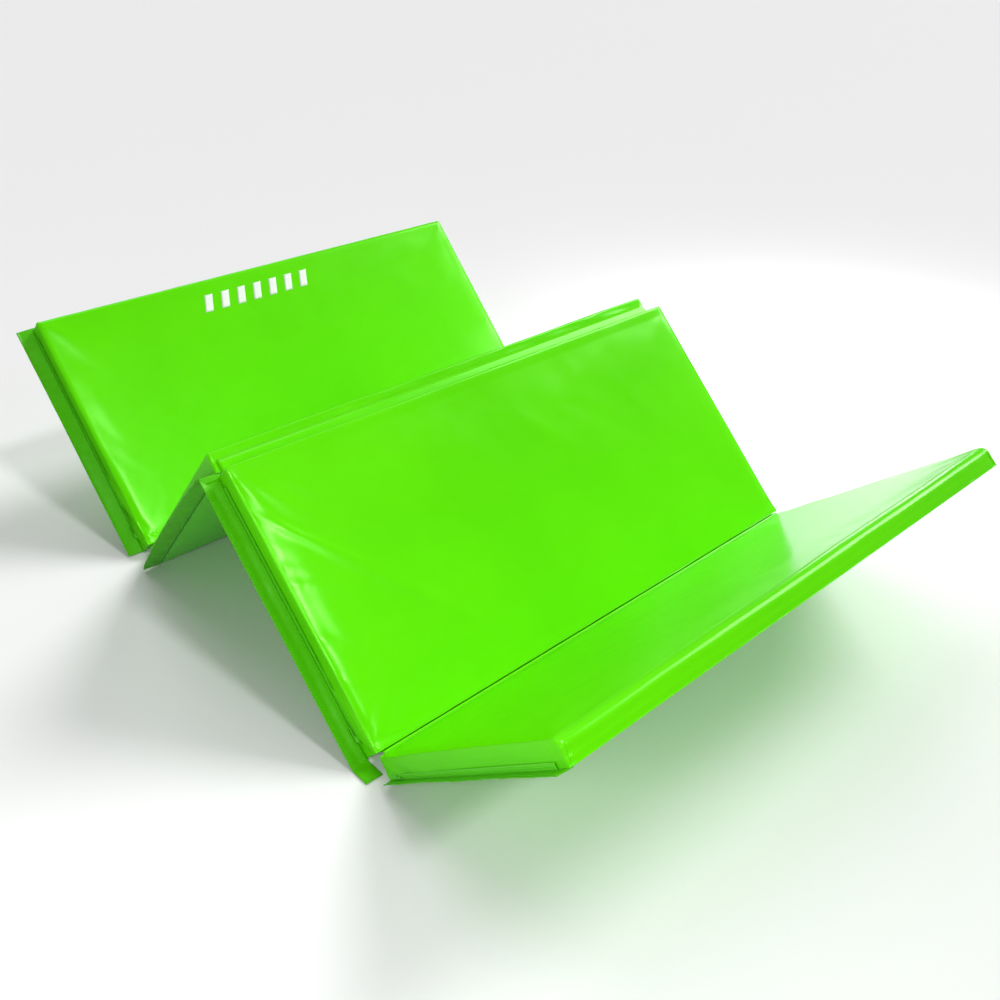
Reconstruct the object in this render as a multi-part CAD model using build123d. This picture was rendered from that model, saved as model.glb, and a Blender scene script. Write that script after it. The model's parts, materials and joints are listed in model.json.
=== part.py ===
"""Four-panel folding gymnastics mat, standing in a zigzag on its two valley folds.

X runs along the folds, +Y from the front panel to the rear one, +Z up, in millimetres.
Panels are numbered from the rear: panel_1 and panel_4 are the raised end panels.
The origin is the centre of the bounding box's underside.
"""
from build123d import *
import os
from math import atan2, cos, degrees, radians, sin

# Driving dimensions of one panel
PANEL_WIDTH = 1220.0
PANEL_DEPTH = 607.0
PANEL_THICKNESS = 50.0
SHEET = 0.6
EDGE_RADIUS = 9.0
CORNER_RADIUS = 14.0

# Folds: the gap between facing end walls, and how far the axis stands off the meeting faces
FOLD_GAP = 3.0
AXIS_STANDOFF = 0.3
WEB_CLEARANCE = 0.2
FIN_HEIGHT = 28.0
WEB_END_INSET = 15.0

# Flap along the left side of each base sheet; the front panel's is narrower
FLAP_WIDTHS = {1: 36.0, 2: 36.0, 3: 36.0, 4: 20.0}
FLAP_THICKNESS = 1.4
FLAP_MITRE = 8.0

# Zip low in the left wall
ZIP_TAPE_HEIGHT = 12.0
ZIP_END_MARGIN = 30.0
ZIP_COIL_RADIUS = 1.5
ZIP_COIL_END_GAP = 4.0
SLIDER_LENGTH = 14.0
SLIDER_HEIGHT = 9.0
SLIDER_PROUD = 5.0
SLIDER_CLEARANCE = 0.3
SLIDER_EDGE_RADIUS = 1.0
PULL_LENGTH = 24.0
PULL_WIDTH = 6.0
PULL_THICKNESS = 1.4
PULL_STANDOFF = 3.0
PULL_OVERLAP = 4.0

# Slope of each panel from front to rear, in degrees above the floor
SLOPES = {1: 47.2, 2: -45.7, 3: 44.6, 4: -39.6}

# End of each panel, along its own depth, that hangs from a fold at the top face
TOP_HINGED_END = {1: 0.0, 2: PANEL_DEPTH, 3: 0.0, 4: PANEL_DEPTH}

# End of each panel that hangs from a fold at the underside; the end panels have none
BASE_HINGED_END = {2: 0.0, 3: PANEL_DEPTH}

LEFT = -PANEL_WIDTH / 2

# How close an edge must lie to an end wall to count as on it
ON_END = 1.0


def slab(x_low, x_high, y_low, y_high, z_low, z_high):
    """A box between two corners."""
    size = (x_high - x_low, y_high - y_low, z_high - z_low)
    return Pos(x_low, y_low, z_low) * Box(*size, align=(Align.MIN, Align.MIN, Align.MIN))


def soft_block(square_end, inset):
    """The panel's outer form, or the same form drawn in by the inset on every side.

    It stands on Z = inset. Its upper edges are rounded, except at the end that a fold holds.
    """
    depth = PANEL_DEPTH - 2 * inset
    block = slab(LEFT + inset, -LEFT - inset, inset, inset + depth, inset, PANEL_THICKNESS - inset)
    held = inset if square_end == 0 else inset + depth
    uprights = [e for e in block.edges().filter_by(Axis.Z) if abs(e.center().Y - held) > ON_END]
    block = fillet(uprights, CORNER_RADIUS - inset)
    rim = [e for e in block.edges().group_by(Axis.Z)[-1] if abs(e.center().Y - held) > ON_END]
    return fillet(rim, EDGE_RADIUS - inset)


def zip_window():
    """The slot low in the left wall that the zip tape fills."""
    ends = (ZIP_END_MARGIN, PANEL_DEPTH - ZIP_END_MARGIN)
    return slab(LEFT, LEFT + SHEET, *ends, SHEET, SHEET + ZIP_TAPE_HEIGHT)


def base_layer():
    """The space of the base sheet, over the whole footprint."""
    return slab(LEFT, -LEFT, 0, PANEL_DEPTH, 0, SHEET)


def make_cover_top(number):
    """Top sheet and four side walls, open below, with the slot for the zip."""
    end = TOP_HINGED_END[number]
    return soft_block(end, 0) - soft_block(end, SHEET) - base_layer() - zip_window()


def make_cover_base(number):
    """Base sheet, with the panel's rounded corners."""
    return soft_block(TOP_HINGED_END[number], 0) & base_layer()


def make_foam_core(number):
    """Foam slab that fills the cover."""
    return soft_block(TOP_HINGED_END[number], SHEET)


def make_side_flap(number):
    """Doubled strip that carries the base sheet on past the left wall, mitred at its loose ends."""
    mitres = [0 if BASE_HINGED_END.get(number) == end else FLAP_MITRE for end in (0.0, PANEL_DEPTH)]
    outer = LEFT - FLAP_WIDTHS[number]
    outline = Polyline(
        (LEFT, 0),
        (outer, mitres[0]),
        (outer, PANEL_DEPTH - mitres[1]),
        (LEFT, PANEL_DEPTH),
        close=True,
    )
    return extrude(make_face(outline), FLAP_THICKNESS, dir=(0, 0, 1))


def zip_axis_height():
    """Height of the zip's coil above the panel's underside."""
    return SHEET + ZIP_TAPE_HEIGHT / 2


def make_zip_tape():
    """Woven tape in the wall's slot, with the coil standing out along its middle."""
    start = ZIP_END_MARGIN + ZIP_COIL_END_GAP
    length = PANEL_DEPTH - 2 * start
    middle = Pos(LEFT, start + length / 2, zip_axis_height())
    coil = middle * Rot(90, 0, 0) * Cylinder(ZIP_COIL_RADIUS, length)
    outside = slab(LEFT - ZIP_COIL_RADIUS, LEFT, 0, PANEL_DEPTH, 0, PANEL_THICKNESS)
    return zip_window() + (coil & outside)


def slider_start(number):
    """Where the slider's body begins when the zip is shut, beside the panel's valley fold."""
    if TOP_HINGED_END[number] == 0:
        return ZIP_END_MARGIN + ZIP_COIL_END_GAP
    return PANEL_DEPTH - ZIP_END_MARGIN - ZIP_COIL_END_GAP - SLIDER_LENGTH


def slider_travel():
    """How far a slider runs along its coil."""
    return PANEL_DEPTH - 2 * (ZIP_END_MARGIN + ZIP_COIL_END_GAP) - SLIDER_LENGTH


def make_zip_slider(number):
    """Slider over the coil with its pull tab, which points along the zip away from the valley."""
    start = slider_start(number)
    low = zip_axis_height() - SLIDER_HEIGHT / 2
    body = slab(
        LEFT - SLIDER_PROUD, LEFT - SLIDER_CLEARANCE, start, start + SLIDER_LENGTH, low, low + SLIDER_HEIGHT
    )
    body = fillet(body.edges().filter_by(Axis.X), SLIDER_EDGE_RADIUS)
    channel = Pos(LEFT, start + SLIDER_LENGTH / 2, zip_axis_height()) * Rot(90, 0, 0) * Cylinder(
        ZIP_COIL_RADIUS + SLIDER_CLEARANCE, 2 * SLIDER_LENGTH
    )
    forwards = TOP_HINGED_END[number] == 0
    pull_start = start + SLIDER_LENGTH - PULL_OVERLAP if forwards else start + PULL_OVERLAP - PULL_LENGTH
    half = PULL_WIDTH / 2
    pull = slab(
        LEFT - PULL_STANDOFF - PULL_THICKNESS, LEFT - PULL_STANDOFF,
        pull_start, pull_start + PULL_LENGTH,
        zip_axis_height() - half, zip_axis_height() + half,
    )
    pull = fillet(pull.edges().filter_by(Axis.X), half - SLIDER_CLEARANCE)
    return (body - channel) + pull


def make_fold_leaf(end, at_top):
    """One body's half of a fold's strip: a fin sewn to the end wall and a web towards the fold's axis."""
    outwards = -1 if end == 0 else 1
    face = PANEL_THICKNESS if at_top else 0.0
    inwards = -1 if at_top else 1
    reach = FOLD_GAP / 2 - WEB_CLEARANCE

    def strip(depth, height):
        ys = sorted((end, end + outwards * depth))
        zs = sorted((face, face + inwards * height))
        return slab(LEFT + WEB_END_INSET, -LEFT - WEB_END_INSET, *ys, *zs)

    return strip(SHEET, FIN_HEIGHT) + strip(reach, SHEET)


def turned(point, slope):
    """A (y, z) offset in a panel's own frame, turned to its slope."""
    a = radians(slope)
    y, z = point
    return (y * cos(a) - z * sin(a), y * sin(a) + z * cos(a))


def hinge_point(end, at_top):
    """A fold's axis in the frame of a panel whose underside is at Z = 0, as (y, z)."""
    y = end - FOLD_GAP / 2 if end == 0 else end + FOLD_GAP / 2
    z = PANEL_THICKNESS + AXIS_STANDOFF if at_top else -AXIS_STANDOFF
    return (y, z)


def chained_origins(slopes):
    """Each panel's origin, as (y, z), with the front valley's axis at zero, and each fold's axis."""
    origins = {}
    axes = {"fold_34": (0.0, 0.0)}

    def hang(number, fold, end, at_top):
        dy, dz = turned(hinge_point(end, at_top), slopes[number])
        origins[number] = (axes[fold][0] - dy, axes[fold][1] - dz)

    def next_axis(fold, number, end, at_top):
        dy, dz = turned(hinge_point(end, at_top), slopes[number])
        axes[fold] = (origins[number][0] + dy, origins[number][1] + dz)

    hang(4, "fold_34", PANEL_DEPTH, True)
    hang(3, "fold_34", 0.0, True)
    next_axis("fold_23", 3, PANEL_DEPTH, False)
    hang(2, "fold_23", 0.0, False)
    next_axis("fold_12", 2, PANEL_DEPTH, True)
    hang(1, "fold_12", 0.0, True)
    return origins, axes


def lowest_foot(slopes, origins, numbers):
    """The lower of two panels' undersides at the valley that they share, as (y, z)."""
    feet = []
    for number in numbers:
        dy, dz = turned((TOP_HINGED_END[number], 0.0), slopes[number])
        feet.append((origins[number][0] + dy, origins[number][1] + dz))
    return min(feet, key=lambda foot: foot[1])


def levelled_slopes():
    """The slopes, turned together so that both valleys stand on one level floor."""
    origins, _ = chained_origins(SLOPES)
    front = lowest_foot(SLOPES, origins, (3, 4))
    rear = lowest_foot(SLOPES, origins, (1, 2))
    tilt = degrees(atan2(rear[1] - front[1], rear[0] - front[0]))
    return {number: slope - tilt for number, slope in SLOPES.items()}


def place(solid, number, slopes, origins):
    """Moves a solid from its panel's frame to the mat's."""
    y, z = origins[number]
    return Pos(0, y, z) * Rot(slopes[number], 0, 0) * solid


def panel_nodes(number):
    """One panel's pieces in the panel's own frame, by name."""
    pieces = {
        "foam_core": make_foam_core(number),
        "cover_top": make_cover_top(number),
        "cover_base": make_cover_base(number),
        "side_flap": make_side_flap(number),
        "zip_tape": make_zip_tape(),
        "zip_slider": make_zip_slider(number),
    }
    return {f"panel_{number}_{name}": solid for name, solid in pieces.items()}


FOLD_LEAVES = {
    "fold_12_leaf_1": (1, 0.0, True),
    "fold_12_leaf_2": (2, PANEL_DEPTH, True),
    "fold_23_leaf_2": (2, 0.0, False),
    "fold_23_leaf_3": (3, PANEL_DEPTH, False),
    "fold_34_leaf_3": (3, 0.0, True),
    "fold_34_leaf_4": (4, PANEL_DEPTH, True),
}


def build():
    """Every node in the mat's frame, and each fold's axis, slopes and origins in that frame."""
    slopes = levelled_slopes()
    origins, axes = chained_origins(slopes)
    nodes = {}
    for number in SLOPES:
        for name, solid in panel_nodes(number).items():
            nodes[name] = place(solid, number, slopes, origins)
    for name, (number, end, at_top) in FOLD_LEAVES.items():
        nodes[name] = place(make_fold_leaf(end, at_top), number, slopes, origins)
    boxes = [solid.bounding_box() for solid in nodes.values()]
    centre_x = (min(b.min.X for b in boxes) + max(b.max.X for b in boxes)) / 2
    centre_y = (min(b.min.Y for b in boxes) + max(b.max.Y for b in boxes)) / 2
    floor_z = min(b.min.Z for b in boxes)
    shift = Pos(-centre_x, -centre_y, -floor_z)
    nodes = {name: shift * solid for name, solid in nodes.items()}
    moved = {name: (y - centre_y, z - floor_z) for name, (y, z) in axes.items()}
    places = {number: (y - centre_y, z - floor_z) for number, (y, z) in origins.items()}
    return nodes, -centre_x, moved, slopes, places


def main():
    nodes, x_shift, axes, slopes, places = build()
    os.makedirs("parts", exist_ok=True)
    for name, solid in nodes.items():
        export_step(solid, f"parts/{name}.step")
    print("centre of the panels' width at x", round(x_shift, 4))
    for name, (y, z) in axes.items():
        print("axis of", name, "at y", round(y, 4), "z", round(z, 4))
    for number in slopes:
        y, z = places[number]
        print("panel", number, "slope", round(slopes[number], 4), "origin y", round(y, 4), "z", round(z, 4))
    print("slider travel", slider_travel())


main()
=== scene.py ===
"""Looks of the four-panel folding gymnastics mat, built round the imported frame."""
import bmesh
import bpy
import json
import numpy as np
from math import cos, pi, radians, sin
from mathutils import Matrix, Vector
from mathutils.bvhtree import BVHTree


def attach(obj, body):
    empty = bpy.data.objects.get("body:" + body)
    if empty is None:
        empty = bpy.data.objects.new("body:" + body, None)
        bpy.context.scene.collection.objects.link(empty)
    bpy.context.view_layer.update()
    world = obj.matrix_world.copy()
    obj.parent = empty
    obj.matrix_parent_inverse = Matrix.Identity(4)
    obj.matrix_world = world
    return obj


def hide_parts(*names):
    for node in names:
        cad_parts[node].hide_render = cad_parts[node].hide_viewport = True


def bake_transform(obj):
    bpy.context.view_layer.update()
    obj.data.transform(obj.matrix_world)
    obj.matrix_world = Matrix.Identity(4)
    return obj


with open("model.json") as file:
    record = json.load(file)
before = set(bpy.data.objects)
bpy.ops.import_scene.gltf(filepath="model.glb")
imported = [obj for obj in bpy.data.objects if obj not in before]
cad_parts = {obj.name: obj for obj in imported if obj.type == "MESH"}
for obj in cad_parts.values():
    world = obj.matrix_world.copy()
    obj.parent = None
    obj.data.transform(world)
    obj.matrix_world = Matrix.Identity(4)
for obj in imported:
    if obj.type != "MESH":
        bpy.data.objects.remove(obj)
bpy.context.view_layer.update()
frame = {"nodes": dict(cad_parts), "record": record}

MOUNTS = {m["name"]: m for m in frame["record"]["mounts"]}
JOINTS = {j["name"]: j for j in frame["record"]["behaviour"]["joints"]}
MM = 0.001

# Along each panel's own depth: -1 is its front end and 1 its rear end
TOP_HINGED_END = {1: -1, 2: 1, 3: -1, 4: 1}
BASE_HINGED_END = {2: -1, 3: 1}
MAIN = 3                      # the front leaning panel's number

# Camera
CAMERA_PLACE = (-1.3072, -1.672, 1.450)
CAMERA_AZIMUTH = radians(-44.2)
CAMERA_ELEVATION = radians(31.29)
CAMERA_ROLL = radians(0.59)
CAMERA_LENS = 37.86
CAMERA_SHIFT = (-0.070, -0.010)

# Cover: radii of its side edges and of its open end's upper edge, and how far it lies inside the CAD block
SIDE_RADIUS = {1: 8 * MM, 2: 8 * MM, 3: 8 * MM, 4: 6 * MM}
END_RADIUS = {1: 12 * MM, 2: 8 * MM, 3: 8 * MM, 4: 23 * MM}
COVER_INSET = 1.0 * MM
BOX_CLEARANCE = 0.25 * MM     # the cover's surface never comes nearer than this to the CAD block's faces
CREASING = {1: 0.45, 2: 0.7, 3: 1.0, 4: 0.8}  # how strongly each panel's landing face is creased
MAIN_SLACK = 1.6 * MM         # the front leaning panel's landing face sinks by this, below its ridges
SLACK_RUN = 30 * MM           # and does so over this distance from its two ends
FOAM_INSET = 8 * MM

# Lattice of the cover: distances of the close lines from its edges, and the step between
SIDE_LINES = np.array([0, 3, 6.5, 10.5, 15.5, 22, 31, 43]) * MM
END_LINES = np.array([0, 3, 6, 9, 12, 15, 18, 21.5, 26, 32, 40, 51]) * MM
WALL_LINES = np.arange(0, 13, 3) * MM
CREASED_BAND, CREASED_LINES = 0.17, 20   # the lattice is also close over this width beside the left wall

# Cloth run of the cover
CLOTH_FRAMES = 20
CLOTH_QUALITY = 6
CLOTH_MASS = 0.35
CLOTH_TENSION, CLOTH_SHEAR, CLOTH_BENDING = 25, 12, 1.5
CLOTH_PRESSURE = 4
CLOTH_GROWTH = 0.012
CLOTH_CAP = 2 * MM            # no point moves further than this
FOLD_CALM = 45 * MM           # over this distance from a valley fold the cover's fullness builds up

# Flap: how far it runs on past the panel's lower end, its mitres and its hem
FLAP_TAIL = {1: 0, 2: 0, 3: 50 * MM, 4: 0}
FLAP_TAIL_BEND = 14 * MM
FLAP_MITRE = {1: 2 * MM, 2: 8 * MM, 3: 8 * MM, 4: 8 * MM}
FLAP_TUCK = 8 * MM            # how far the flap's inner edge runs in under the cover
FLAP_SETBACK = {1: 0, 2: 0, 3: 0, 4: 10 * MM}  # panel 4's stops short of its fold, clear of panel 3's tail
FLAP_WAVE = {1: 0.5, 2: 1.6, 3: 0.7, 4: 0.5}  # how strongly each panel's flap is rippled
HEM_WIDTH = 3 * MM
HEM_THICKNESS = 2.2 * MM

# Bridge between the two flaps that meet at the peak
BRIDGE_REACH = 13 * MM
BRIDGE_LIFT = 1.7 * MM
BRIDGE_THICKNESS = 0.8 * MM

# Fold strips: how far they run down the end walls, how far they stand off, and how short they stop
STRIP_FIN = 26 * MM
STRIP_THICKNESS = 0.6 * MM
STRIP_STANDOFF = 0.7 * MM
STRIP_SETBACK = 15 * MM
STRIP_STATIONS = 161

# Sewing and zip
STITCH_PITCH = 6 * MM
STITCH_LENGTH = 4.2 * MM
STITCH_RADIUS = 0.45 * MM
SEAM_SETBACK = 7 * MM
TAPE_THICKNESS = 0.5 * MM
TOOTH_PITCH = 2.2 * MM
TOOTH_LENGTH = 3.6 * MM
TOOTH_RADIUS = 0.85 * MM
TEETH_MARGIN = 5 * MM
SLIDER_BODY = 14 * MM
PULL_START = 8.5 * MM
PULL_HALF_WIDTH = 2.7 * MM
GRIP_PITCH = 2.2 * MM

# Plain printed bars on the rear panel's landing face
PRINT_BARS = 7
PRINT_PLACE = (-0.050, 0.232)
PRINT_HEIGHT = 46 * MM
PRINT_PITCH = 47 * MM
PRINT_BAR = 22 * MM
PRINT_SLANT = 18 * MM
PRINT_FILM = 0.2 * MM
PRINT_RISE = 0.22 * MM

# Colours, and how much rougher the side walls' vinyl is than the faces'
LIME, LIME_DARK = (0.124, 0.77, 0.0), (0.108, 0.71, 0.0)
# The flaps' two colours are painted shade: the cover's own lime vinyl, darkened to stand in for the shadow
# that the side walls cast on the flaps beside them.
FLAP_PAINTED_SHADE_LIME, FLAP_PAINTED_SHADE_DARK = (0.078, 0.50, 0.0), (0.064, 0.43, 0.0)
ZIP_LIME = (0.124, 0.77, 0.001)
THREAD_LIME = (0.16, 0.80, 0.02)
SLIDER_GREEN = (0.09, 0.62, 0.004)
CREAM = (0.82, 0.78, 0.66)
BARE_METAL = (0.55, 0.56, 0.55)
INK_DARK, INK_LIGHT = (0.80, 0.86, 0.78), (0.93, 0.95, 0.92)
SHEEN_TINT = (0.42, 1, 0.26, 1)
FLOOR_GREY = (0.84, 0.84, 0.84, 1)
WALL_MATTING = 0.42

# Lights: suns as (name, direction towards it, apparent width in degrees, strength), soft boxes as
# (name, place, target, size, power). The right box mostly lights the floor that the front panel mirrors.
SUNS = (
    ("key", (0.72, -0.08, 0.69), 24, 1.86),
    ("back", (0.15, 0.52, 0.84), 40, 0.65),
    ("front", (0.12, -0.62, 0.77), 7, 0.80),
)
SOFT_BOXES = (
    ("left", (-1.60, -1.20, 1.05), (-0.6, -0.6, 0.2), 0.5, 9),
    ("right", (1.55, 0.10, 0.80), (1.35, -0.05, 0.0), 0.6, 10),
)
SURROUND_LIGHT, SURROUND_SEEN = 0.22, 0.95
FLOOR_REACH = 30


class Panel:
    """A panel's own frame: x along the folds, u along its depth, w out of its landing face.

    x and u are zero at the panel's middle, and w is zero on the landing face.
    """

    def __init__(self, number):
        top = MOUNTS[f"panel_{number}_landing_face"]
        base = MOUNTS[f"panel_{number}_floor_face"]
        self.number = number
        self.body = f"panel_{number}"
        self.centre = np.array(top["pos_m"])
        self.up = np.array(top["axis"])
        self.along = np.array([0, self.up[2], -self.up[1]])
        self.thickness = float((self.centre - np.array(base["pos_m"])) @ self.up)
        points = node_points(f"panel_{number}_cover_base") - self.centre
        self.half_width = float(abs(points[:, 0]).max())
        self.half_depth = float(abs(points @ self.along).max())
        flap = node_points(f"panel_{number}_side_flap") - self.centre
        self.flap_width = float(-self.half_width - flap[:, 0].min())
        self.flap_thickness = float(np.ptp(flap @ self.up))

    def world(self, local):
        """Points in the mat's frame from points in the panel's own."""
        local = np.asarray(local, float)
        across = np.array([1.0, 0, 0])
        return self.centre + local[:, :1] * across + local[:, 1:2] * self.along + local[:, 2:3] * self.up

    def local(self, points):
        """Points in the panel's own frame from points in the mat's."""
        offset = np.asarray(points, float) - self.centre
        return np.stack([offset[:, 0], offset @ self.along, offset @ self.up], 1)


def vertex_places(mesh):
    """A mesh's vertices, one row each."""
    points = np.empty(len(mesh.vertices) * 3)
    mesh.vertices.foreach_get("co", points)
    return points.reshape(-1, 3)


def node_points(name):
    """A CAD node's vertices."""
    return vertex_places(frame["nodes"][name].data)


# ---------------------------------------------------------------- mesh helpers

def in_scene(name, data):
    """A new object with that data, in the scene."""
    obj = bpy.data.objects.new(name, data)
    bpy.context.scene.collection.objects.link(obj)
    return obj


def new_mesh(name, points, faces, material, smooth=True):
    """A mesh object at the origin, with its faces turned outwards."""
    mesh = bpy.data.meshes.new(name)
    mesh.from_pydata([tuple(p) for p in points], [], [tuple(f) for f in faces])
    tidy = bmesh.new()
    tidy.from_mesh(mesh)
    bmesh.ops.recalc_face_normals(tidy, faces=tidy.faces)
    tidy.to_mesh(mesh)
    tidy.free()
    mesh.polygons.foreach_set("use_smooth", [smooth] * len(mesh.polygons))
    obj = in_scene(name, mesh)
    obj.data.materials.append(material)
    return obj


def scratch_object(points, quads):
    """A passing mesh object, for a modifier to work on."""
    mesh = bpy.data.meshes.new("scratch")
    mesh.from_pydata([tuple(p) for p in points], [], [tuple(q) for q in quads])
    return in_scene("scratch", mesh)


def taken_up(obj):
    """A scratch object's mesh after its modifiers, as (points, faces); the object is removed."""
    result = obj.evaluated_get(bpy.context.evaluated_depsgraph_get()).to_mesh()
    points = vertex_places(result)
    faces = [tuple(p.vertices) for p in result.polygons]
    mesh = obj.data
    bpy.data.objects.remove(obj)
    bpy.data.meshes.remove(mesh)
    return points, faces


def sheet_faces(tall, wide):
    """Faces of a closed sheet: a grid of points row by row, and after it the same grid again behind."""
    count = tall * wide
    faces = []
    for i in range(tall - 1):
        for j in range(wide - 1):
            p = i * wide + j
            faces.append((p, p + 1, p + wide + 1, p + wide))
            faces.append((p + count, p + wide + count, p + wide + 1 + count, p + 1 + count))
    rim = [i * wide for i in range(tall)] + [(tall - 1) * wide + j for j in range(1, wide)]
    rim += [i * wide + wide - 1 for i in range(tall - 2, -1, -1)] + [j for j in range(wide - 2, 0, -1)]
    for p, q in zip(rim, rim[1:] + rim[:1]):
        faces.append((p, q, q + count, p + count))
    return faces


def box_grid(xs, us, ws):
    """A closed box of quads on a lattice, as (points, quads)."""
    nx, nu, nw = len(xs) - 1, len(us) - 1, len(ws) - 1
    ids, points, quads = {}, [], []

    def at(i, j, k):
        if (i, j, k) not in ids:
            ids[i, j, k] = len(points)
            points.append((xs[i], us[j], ws[k]))
        return ids[i, j, k]

    for i in range(nx):
        for j in range(nu):
            quads.append((at(i, j, nw), at(i + 1, j, nw), at(i + 1, j + 1, nw), at(i, j + 1, nw)))
            quads.append((at(i, j, 0), at(i, j + 1, 0), at(i + 1, j + 1, 0), at(i + 1, j, 0)))
    for i in range(nx):
        for k in range(nw):
            quads.append((at(i, 0, k), at(i + 1, 0, k), at(i + 1, 0, k + 1), at(i, 0, k + 1)))
            quads.append((at(i, nu, k), at(i, nu, k + 1), at(i + 1, nu, k + 1), at(i + 1, nu, k)))
    for j in range(nu):
        for k in range(nw):
            quads.append((at(0, j, k), at(0, j, k + 1), at(0, j + 1, k + 1), at(0, j + 1, k)))
            quads.append((at(nx, j, k), at(nx, j + 1, k), at(nx, j + 1, k + 1), at(nx, j, k + 1)))
    return np.array(points), quads


def graded(low, high, step, ends):
    """Lattice lines from low to high: close together near both ends, and a step apart between."""
    ends = np.array(ends)
    inner_low, inner_high = low + ends[-1], high - ends[-1]
    count = max(int(round((inner_high - inner_low) / step)), 2)
    middle = np.linspace(inner_low, inner_high, count + 1)[1:-1]
    return np.concatenate([low + ends, middle, (high - ends)[::-1]])


def waves(a, b, length, count, seed):
    """Smooth noise of about that wavelength in two coordinates, from -1 to 1."""
    rng = np.random.default_rng(seed)
    total = np.zeros_like(a, dtype=float)
    for _ in range(count):
        angle = rng.uniform(0, 2 * pi)
        size = length * rng.uniform(0.7, 1.5)
        total += np.sin((a * cos(angle) + b * sin(angle)) * 2 * pi / size + rng.uniform(0, 2 * pi))
    return total / count ** 0.5 / 1.6


def crease(x, u, start, end, width, height, sharpness=1.0):
    """A ridge (or a valley, if height is negative) along a line, fading at its far end."""
    start, end = np.array(start), np.array(end)
    line = end - start
    length = np.linalg.norm(line)
    t = ((x - start[0]) * line[0] + (u - start[1]) * line[1]) / length ** 2
    d = ((x - start[0]) * line[1] - (u - start[1]) * line[0]) / length
    spread = width * (0.55 + 0.9 * np.clip(t, 0, 1))
    envelope = np.clip(t * 6, 0, 1) * np.clip(1 - t, 0, 1) ** sharpness
    return height * np.exp(-((d / spread) ** 2)) * envelope * (t > 0)


# ---------------------------------------------------------------- cover

def rounded(points, panel, inset):
    """Box points with the edges rounded, except the base's and those of the end that a valley fold holds.

    The open end's upper edge has the end radius, and every edge of the two sides has the side radius.
    """
    square = TOP_HINGED_END[panel.number]
    hw, hd = panel.half_width - inset, panel.half_depth - inset
    end_radius, side_radius = END_RADIUS[panel.number], SIDE_RADIUS[panel.number]
    x, w = points[:, 0], points[:, 2]
    away = hd + square * points[:, 1]
    below = -inset - w
    out_u = np.clip(end_radius - away, 0, None)
    out_w = np.clip(end_radius - below, 0, None)
    corner = (out_u > 0) & (out_w > 0)
    reach = np.maximum(np.hypot(out_u, out_w), 1e-9)
    share = np.where(corner, np.maximum(out_u, out_w) / reach, 1.0)
    out_u, out_w = out_u * share, out_w * share
    depth = np.where(corner, end_radius - np.hypot(out_u, out_w), np.minimum(away, below))
    away = np.where(corner, end_radius - out_u, away)
    below = np.where(corner, end_radius - out_w, below)
    reach = np.maximum(np.hypot(out_u, out_w), 1e-9)
    inward_u = np.where(corner, out_u / reach, away < below)
    inward_w = np.where(corner, out_w / reach, away >= below)
    a = np.clip(side_radius - (hw - abs(x)), 0, side_radius)
    b = np.clip(side_radius - depth, 0, side_radius)
    edge = (a > 0) & (b > 0)
    scale = np.where(edge, np.maximum(a, b) / np.maximum(np.hypot(a, b), 1e-9), 1.0)
    shift = b - b * scale
    x = np.where(edge, np.sign(x) * (hw - side_radius + a * scale), x)
    away, below = away + inward_u * shift, below + inward_w * shift
    return np.stack([x, square * (away - hd), -inset - below], 1)


def cover_form(panel):
    """The cover's plain closed form in the panel's own frame, as (points, quads)."""
    hw, hd = panel.half_width - COVER_INSET, panel.half_depth - COVER_INSET
    xs = graded(-hw, hw, 17 * MM, SIDE_LINES)
    fine = np.linspace(-hw + SIDE_LINES[4], -hw + CREASED_BAND, CREASED_LINES)
    xs = np.concatenate([xs[:4], fine, xs[xs > fine[-1] + 6 * MM]])
    us = graded(-hd, hd, 16 * MM, END_LINES)
    ws = graded(-panel.thickness + 0.3 * MM, -COVER_INSET, 4 * MM, WALL_LINES)
    return box_grid(xs, us, ws)


def simulated(points, quads, panel):
    """The form after a cloth run with a little pressure, its seams pinned, kept close to where it began."""
    obj = scratch_object(points, quads)
    square = TOP_HINGED_END[panel.number]
    base = points[:, 2] < -panel.thickness + 1 * MM
    held = points[:, 1] * square > panel.half_depth - COVER_INSET - 1 * MM
    pinned = obj.vertex_groups.new(name="seams")
    pinned.add([int(i) for i in np.flatnonzero(base | held)], 1.0, "REPLACE")
    cloth = obj.modifiers.new("cloth", "CLOTH")
    s = cloth.settings
    s.quality = CLOTH_QUALITY
    s.mass = CLOTH_MASS
    s.tension_stiffness = s.compression_stiffness = CLOTH_TENSION
    s.shear_stiffness = CLOTH_SHEAR
    s.bending_stiffness = CLOTH_BENDING
    s.use_pressure = True
    s.uniform_pressure_force = CLOTH_PRESSURE
    s.shrink_min = -CLOTH_GROWTH
    s.vertex_group_mass = "seams"
    s.effector_weights.gravity = 0
    cloth.point_cache.frame_start, cloth.point_cache.frame_end = 1, CLOTH_FRAMES
    for step in range(1, CLOTH_FRAMES + 1):
        bpy.context.scene.frame_set(step)
    moved, _ = taken_up(obj)
    bpy.context.scene.frame_set(1)
    shift = moved - points
    size = np.linalg.norm(shift, axis=1, keepdims=True)
    shift *= np.minimum(1, CLOTH_CAP / np.maximum(size, 1e-9))
    from_fold = np.clip((panel.half_depth - square * points[:, 1:2]) / FOLD_CALM, 0, 1)
    return points + shift * from_fold ** 2 * (3 - 2 * from_fold)


def subdivided(points, quads):
    """One round of subdivision, as (points, quads)."""
    obj = scratch_object(points, quads)
    finer = obj.modifiers.new("finer", "SUBSURF")
    finer.levels = finer.render_levels = 1
    return taken_up(obj)


def vertex_normals(points, quads):
    """Unit normals of a quad mesh's vertices."""
    q = np.array(quads)
    face = np.cross(points[q[:, 2]] - points[q[:, 0]], points[q[:, 3]] - points[q[:, 1]])
    normals = np.zeros_like(points)
    for corner in range(4):
        np.add.at(normals, q[:, corner], face)
    return normals / np.maximum(np.linalg.norm(normals, axis=1, keepdims=True), 1e-12)


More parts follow.
